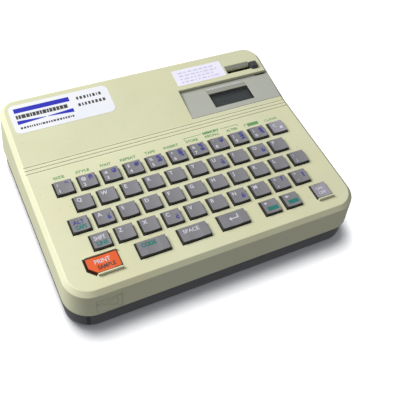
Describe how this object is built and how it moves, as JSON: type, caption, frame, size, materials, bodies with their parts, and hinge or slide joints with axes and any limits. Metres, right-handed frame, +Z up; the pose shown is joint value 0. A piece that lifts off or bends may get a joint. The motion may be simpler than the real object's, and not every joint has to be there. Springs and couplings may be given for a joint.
{
  "type": "label maker",
  "caption": "Desktop keyboard label maker: wedge casing on a tray, sprung keys, sunken display panel, tape outlet with cutter button, printing drive inside.",
  "frame": {"origin": "on the table under the middle of the casing, at the bottom centre of the bounding box", "axes": "+X to the user's right, +Y to the rear, +Z up"},
  "size_m": [0.2208, 0.173, 0.0537],
  "materials": {
    "casing_cream": "satin, fine spark texture, slightly yellowed",
    "tray_grey": "matt, fine texture",
    "panel_grey": "matt, fine texture",
    "window_clear": "clear polished plastic",
    "lcd_dark": "smooth liquid-crystal panel",
    "board_green": "solder mask",
    "mat_rubber": "soft matt",
    "chassis_steel": "plated sheet",
    "head_aluminium": "extruded",
    "motor_steel": "plated can",
    "cassette_black": "matt",
    "cell_wrap": "printed sleeve",
    "contact_steel": "nickel plated",
    "foot_rubber": "matt",
    "screw_steel": "zinc plated",
    "jack_black": "matt",
    "platen_rubber": "ground rubber",
    "gear_white": "moulded acetal",
    "pinion_brass": "machined",
    "cutter_dark": "matt",
    "key_grey": "satin, fine texture",
    "key_orange": "satin",
    "key_light": "satin, fine texture"
  },
  "bodies": {
    "casing": {"top_casing": "casing_cream", "bottom_casing": "tray_grey", "display_bezel": "panel_grey", "display_window": "window_clear", "lcd_module": "lcd_dark", "circuit_board": "board_green", "keypad_mat": "mat_rubber", "mechanism_chassis": "chassis_steel", "print_head": "head_aluminium", "drive_motor": "motor_steel", "tape_cassette": "cassette_black", "batteries": "cell_wrap", "battery_contacts": "contact_steel", "rubber_feet": "foot_rubber", "case_screws": "screw_steel", "dc_jack": "jack_black"},
    "platen": {"platen_roller": "platen_rubber", "platen_gear": "gear_white"},
    "idler": {"idler_gear": "gear_white"},
    "pinion": {"motor_pinion": "pinion_brass"},
    "cutter": {"cutter_button": "cutter_dark"},
    "battery_cover": {"battery_door": "tray_grey"},
    "cassette_cover": {"cassette_door": "tray_grey"},
    "digit_keys_body": {"digit_keys": "key_grey"},
    "punctuation_keys_body": {"punctuation_keys": "key_grey"},
    "arrow_keys_body": {"arrow_keys": "key_grey"},
    "key_q_body": {"key_q": "key_grey"},
    "key_w_body": {"key_w": "key_grey"},
    "key_e_body": {"key_e": "key_grey"},
    "key_r_body": {"key_r": "key_grey"},
    "key_t_body": {"key_t": "key_grey"},
    "key_y_body": {"key_y": "key_grey"},
    "key_u_body": {"key_u": "key_grey"},
    "key_i_body": {"key_i": "key_grey"},
    "key_o_body": {"key_o": "key_grey"},
    "key_p_body": {"key_p": "key_grey"},
    "key_a_body": {"key_a": "key_grey"},
    "key_s_body": {"key_s": "key_grey"},
    "key_d_body": {"key_d": "key_grey"},
    "key_f_body": {"key_f": "key_grey"},
    "key_g_body": {"key_g": "key_grey"},
    "key_h_body": {"key_h": "key_grey"},
    "key_j_body": {"key_j": "key_grey"},
    "key_k_body": {"key_k": "key_grey"},
    "key_l_body": {"key_l": "key_grey"},
    "key_z_body": {"key_z": "key_grey"},
    "key_x_body": {"key_x": "key_grey"},
    "key_c_body": {"key_c": "key_grey"},
    "key_v_body": {"key_v": "key_grey"},
    "key_b_body": {"key_b": "key_grey"},
    "key_n_body": {"key_n": "key_grey"},
    "key_m_body": {"key_m": "key_grey"},
    "key_clear_body": {"key_clear": "key_light"},
    "key_alt_body": {"key_alt": "key_grey"},
    "key_shift_body": {"key_shift": "key_grey"},
    "key_print_body": {"key_print": "key_orange"},
    "key_code_body": {"key_code": "key_grey"},
    "key_space_body": {"key_space": "key_grey"},
    "key_return_body": {"key_return": "key_grey"},
    "key_on_off_body": {"key_on_off": "key_grey"}
  },
  "joints": [
    {"name": "platen_spin", "type": "hinge", "parent": "casing", "child": "platen", "pos_m": [0.06885, 0.05752, 0.03173], "axis": [1, 0, 0], "continuous": true},
    {"name": "idler_spin", "type": "hinge", "parent": "casing", "child": "idler", "pos_m": [0.06885, 0.04926, 0.0185], "axis": [1, 0, 0], "continuous": true},
    {"name": "motor_spin", "type": "hinge", "parent": "casing", "child": "pinion", "pos_m": [0.06885, 0.03726, 0.0185], "axis": [1, 0, 0], "continuous": true},
    {"name": "cutter_press", "type": "slide", "parent": "casing", "child": "cutter", "axis": [0, 0.1736, -0.9848], "range_m": [0, 0.003], "stiffness_N_per_m": 300, "springref_m": -0.001},
    {"name": "battery_door_off", "type": "slide", "parent": "casing", "child": "battery_cover", "axis": [0, 0, -1], "range_m": [0, 0.03]},
    {"name": "cassette_door_off", "type": "slide", "parent": "casing", "child": "cassette_cover", "axis": [0, 0, -1], "range_m": [0, 0.03]},
    {"name": "digit_keys_press", "type": "slide", "parent": "casing", "child": "digit_keys_body", "axis": [0, 0.0349, -0.9994], "range_m": [0, 0.0015], "stiffness_N_per_m": 3000, "springref_m": -0.001},
    {"name": "punctuation_keys_press", "type": "slide", "parent": "casing", "child": "punctuation_keys_body", "axis": [0, 0.0349, -0.9994], "range_m": [0, 0.0015], "stiffness_N_per_m": 900, "springref_m": -0.001},
    {"name": "arrow_keys_press", "type": "slide", "parent": "casing", "child": "arrow_keys_body", "axis": [0, 0.0349, -0.9994], "range_m": [0, 0.0015], "stiffness_N_per_m": 600, "springref_m": -0.001},
    {"name": "key_q_press", "type": "slide", "parent": "casing", "child": "key_q_body", "axis": [0, 0.0349, -0.9994], "range_m": [0, 0.0015], "stiffness_N_per_m": 300, "springref_m": -0.001},
    {"name": "key_w_press", "type": "slide", "parent": "casing", "child": "key_w_body", "axis": [0, 0.0349, -0.9994], "range_m": [0, 0.0015], "stiffness_N_per_m": 300, "springref_m": -0.001},
    {"name": "key_e_press", "type": "slide", "parent": "casing", "child": "key_e_body", "axis": [0, 0.0349, -0.9994], "range_m": [0, 0.0015], "stiffness_N_per_m": 300, "springref_m": -0.001},
    {"name": "key_r_press", "type": "slide", "parent": "casing", "child": "key_r_body", "axis": [0, 0.0349, -0.9994], "range_m": [0, 0.0015], "stiffness_N_per_m": 300, "springref_m": -0.001},
    {"name": "key_t_press", "type": "slide", "parent": "casing", "child": "key_t_body", "axis": [0, 0.0349, -0.9994], "range_m": [0, 0.0015], "stiffness_N_per_m": 300, "springref_m": -0.001},
    {"name": "key_y_press", "type": "slide", "parent": "casing", "child": "key_y_body", "axis": [0, 0.0349, -0.9994], "range_m": [0, 0.0015], "stiffness_N_per_m": 300, "springref_m": -0.001},
    {"name": "key_u_press", "type": "slide", "parent": "casing", "child": "key_u_body", "axis": [0, 0.0349, -0.9994], "range_m": [0, 0.0015], "stiffness_N_per_m": 300, "springref_m": -0.001},
    {"name": "key_i_press", "type": "slide", "parent": "casing", "child": "key_i_body", "axis": [0, 0.0349, -0.9994], "range_m": [0, 0.0015], "stiffness_N_per_m": 300, "springref_m": -0.001},
    {"name": "key_o_press", "type": "slide", "parent": "casing", "child": "key_o_body", "axis": [0, 0.0349, -0.9994], "range_m": [0, 0.0015], "stiffness_N_per_m": 300, "springref_m": -0.001},
    {"name": "key_p_press", "type": "slide", "parent": "casing", "child": "key_p_body", "axis": [0, 0.0349, -0.9994], "range_m": [0, 0.0015], "stiffness_N_per_m": 300, "springref_m": -0.001},
    {"name": "key_a_press", "type": "slide", "parent": "casing", "child": "key_a_body", "axis": [0, 0.0349, -0.9994], "range_m": [0, 0.0015], "stiffness_N_per_m": 300, "springref_m": -0.001},
    {"name": "key_s_press", "type": "slide", "parent": "casing", "child": "key_s_body", "axis": [0, 0.0349, -0.9994], "range_m": [0, 0.0015], "stiffness_N_per_m": 300, "springref_m": -0.001},
    {"name": "key_d_press", "type": "slide", "parent": "casing", "child": "key_d_body", "axis": [0, 0.0349, -0.9994], "range_m": [0, 0.0015], "stiffness_N_per_m": 300, "springref_m": -0.001},
    {"name": "key_f_press", "type": "slide", "parent": "casing", "child": "key_f_body", "axis": [0, 0.0349, -0.9994], "range_m": [0, 0.0015], "stiffness_N_per_m": 300, "springref_m": -0.001},
    {"name": "key_g_press", "type": "slide", "parent": "casing", "child": "key_g_body", "axis": [0, 0.0349, -0.9994], "range_m": [0, 0.0015], "stiffness_N_per_m": 300, "springref_m": -0.001},
    {"name": "key_h_press", "type": "slide", "parent": "casing", "child": "key_h_body", "axis": [0, 0.0349, -0.9994], "range_m": [0, 0.0015], "stiffness_N_per_m": 300, "springref_m": -0.001},
    {"name": "key_j_press", "type": "slide", "parent": "casing", "child": "key_j_body", "axis": [0, 0.0349, -0.9994], "range_m": [0, 0.0015], "stiffness_N_per_m": 300, "springref_m": -0.001},
    {"name": "key_k_press", "type": "slide", "parent": "casing", "child": "key_k_body", "axis": [0, 0.0349, -0.9994], "range_m": [0, 0.0015], "stiffness_N_per_m": 300, "springref_m": -0.001},
    {"name": "key_l_press", "type": "slide", "parent": "casing", "child": "key_l_body", "axis": [0, 0.0349, -0.9994], "range_m": [0, 0.0015], "stiffness_N_per_m": 300, "springref_m": -0.001},
    {"name": "key_z_press", "type": "slide", "parent": "casing", "child": "key_z_body", "axis": [0, 0.0349, -0.9994], "range_m": [0, 0.0015], "stiffness_N_per_m": 300, "springref_m": -0.001},
    {"name": "key_x_press", "type": "slide", "parent": "casing", "child": "key_x_body", "axis": [0, 0.0349, -0.9994], "range_m": [0, 0.0015], "stiffness_N_per_m": 300, "springref_m": -0.001},
    {"name": "key_c_press", "type": "slide", "parent": "casing", "child": "key_c_body", "axis": [0, 0.0349, -0.9994], "range_m": [0, 0.0015], "stiffness_N_per_m": 300, "springref_m": -0.001},
    {"name": "key_v_press", "type": "slide", "parent": "casing", "child": "key_v_body", "axis": [0, 0.0349, -0.9994], "range_m": [0, 0.0015], "stiffness_N_per_m": 300, "springref_m": -0.001},
    {"name": "key_b_press", "type": "slide", "parent": "casing", "child": "key_b_body", "axis": [0, 0.0349, -0.9994], "range_m": [0, 0.0015], "stiffness_N_per_m": 300, "springref_m": -0.001},
    {"name": "key_n_press", "type": "slide", "parent": "casing", "child": "key_n_body", "axis": [0, 0.0349, -0.9994], "range_m": [0, 0.0015], "stiffness_N_per_m": 300, "springref_m": -0.001},
    {"name": "key_m_press", "type": "slide", "parent": "casing", "child": "key_m_body", "axis": [0, 0.0349, -0.9994], "range_m": [0, 0.0015], "stiffness_N_per_m": 300, "springref_m": -0.001},
    {"name": "key_clear_press", "type": "slide", "parent": "casing", "child": "key_clear_body", "axis": [0, 0.0349, -0.9994], "range_m": [0, 0.0015], "stiffness_N_per_m": 300, "springref_m": -0.001},
    {"name": "key_alt_press", "type": "slide", "parent": "casing", "child": "key_alt_body", "axis": [0, 0.0349, -0.9994], "range_m": [0, 0.0015], "stiffness_N_per_m": 300, "springref_m": -0.001},
    {"name": "key_shift_press", "type": "slide", "parent": "casing", "child": "key_shift_body", "axis": [0, 0.0349, -0.9994], "range_m": [0, 0.0015], "stiffness_N_per_m": 300, "springref_m": -0.001},
    {"name": "key_print_press", "type": "slide", "parent": "casing", "child": "key_print_body", "axis": [0, 0.0349, -0.9994], "range_m": [0, 0.0015], "stiffness_N_per_m": 300, "springref_m": -0.001},
    {"name": "key_code_press", "type": "slide", "parent": "casing", "child": "key_code_body", "axis": [0, 0.0349, -0.9994], "range_m": [0, 0.0015], "stiffness_N_per_m": 300, "springref_m": -0.001},
    {"name": "key_space_press", "type": "slide", "parent": "casing", "child": "key_space_body", "axis": [0, 0.0349, -0.9994], "range_m": [0, 0.0015], "stiffness_N_per_m": 300, "springref_m": -0.001},
    {"name": "key_return_press", "type": "slide", "parent": "casing", "child": "key_return_body", "axis": [0, 0.0349, -0.9994], "range_m": [0, 0.0015], "stiffness_N_per_m": 300, "springref_m": -0.001},
    {"name": "key_on_off_press", "type": "slide", "parent": "casing", "child": "key_on_off_body", "axis": [0, 0.0349, -0.9994], "range_m": [0, 0.0015], "stiffness_N_per_m": 300, "springref_m": -0.001}
  ],
  "couplings": [
    {"joint": "idler_spin", "follows": "platen_spin", "ratio": -0.85714},
    {"joint": "motor_spin", "follows": "platen_spin", "ratio": 2}
  ]
}
